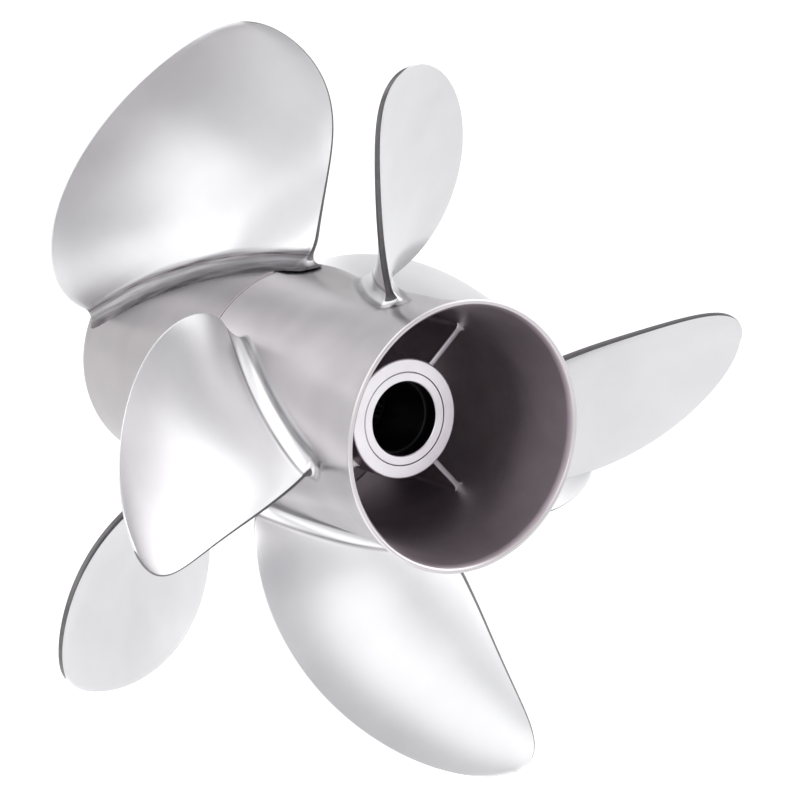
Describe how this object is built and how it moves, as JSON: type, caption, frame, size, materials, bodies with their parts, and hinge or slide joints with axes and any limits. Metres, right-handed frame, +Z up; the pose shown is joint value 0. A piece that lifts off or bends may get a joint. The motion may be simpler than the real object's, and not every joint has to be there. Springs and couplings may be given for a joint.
{
  "type": "counter-rotating stern-drive propeller pair",
  "caption": "Pair of polished stainless boat propellers on one shaft line: a front one of larger diameter and a rear one that turns the other way, with hollow exhaust hubs.",
  "frame": {"origin": "on the shaft axis, in the plane of the front propeller's forward thrust face", "axes": "+Y forward along the shaft, +X to starboard, +Z up"},
  "size_m": [0.3654, 0.285, 0.3727],
  "materials": {
    "polished_stainless": "polished",
    "satin_cast_stainless": "satin",
    "machined_stainless": "fine turned",
    "rubber": "matt"
  },
  "bodies": {
    "front_propeller": {"front_hub_barrel": "polished_stainless", "front_inner_hub": "machined_stainless", "front_rubber_bushing": "rubber", "front_spline_sleeve": "machined_stainless", "front_rib_1": "satin_cast_stainless", "front_rib_2": "satin_cast_stainless", "front_rib_3": "satin_cast_stainless", "front_blade_1": "polished_stainless", "front_blade_2": "polished_stainless", "front_blade_3": "polished_stainless"},
    "rear_propeller": {"rear_hub_barrel": "polished_stainless", "rear_exhaust_ring": "polished_stainless", "rear_inner_hub": "machined_stainless", "rear_rubber_bushing": "rubber", "rear_spline_sleeve": "machined_stainless", "rear_rib_1": "satin_cast_stainless", "rear_rib_2": "satin_cast_stainless", "rear_rib_3": "satin_cast_stainless", "rear_rib_4": "satin_cast_stainless", "rear_blade_1": "polished_stainless", "rear_blade_2": "polished_stainless", "rear_blade_3": "polished_stainless", "rear_blade_4": "polished_stainless"}
  },
  "joints": [
    {"name": "rear_spin", "type": "hinge", "parent": "front_propeller", "child": "rear_propeller", "pos_m": [0, -0.19, 0], "axis": [0, 1, 0], "continuous": true}
  ]
}
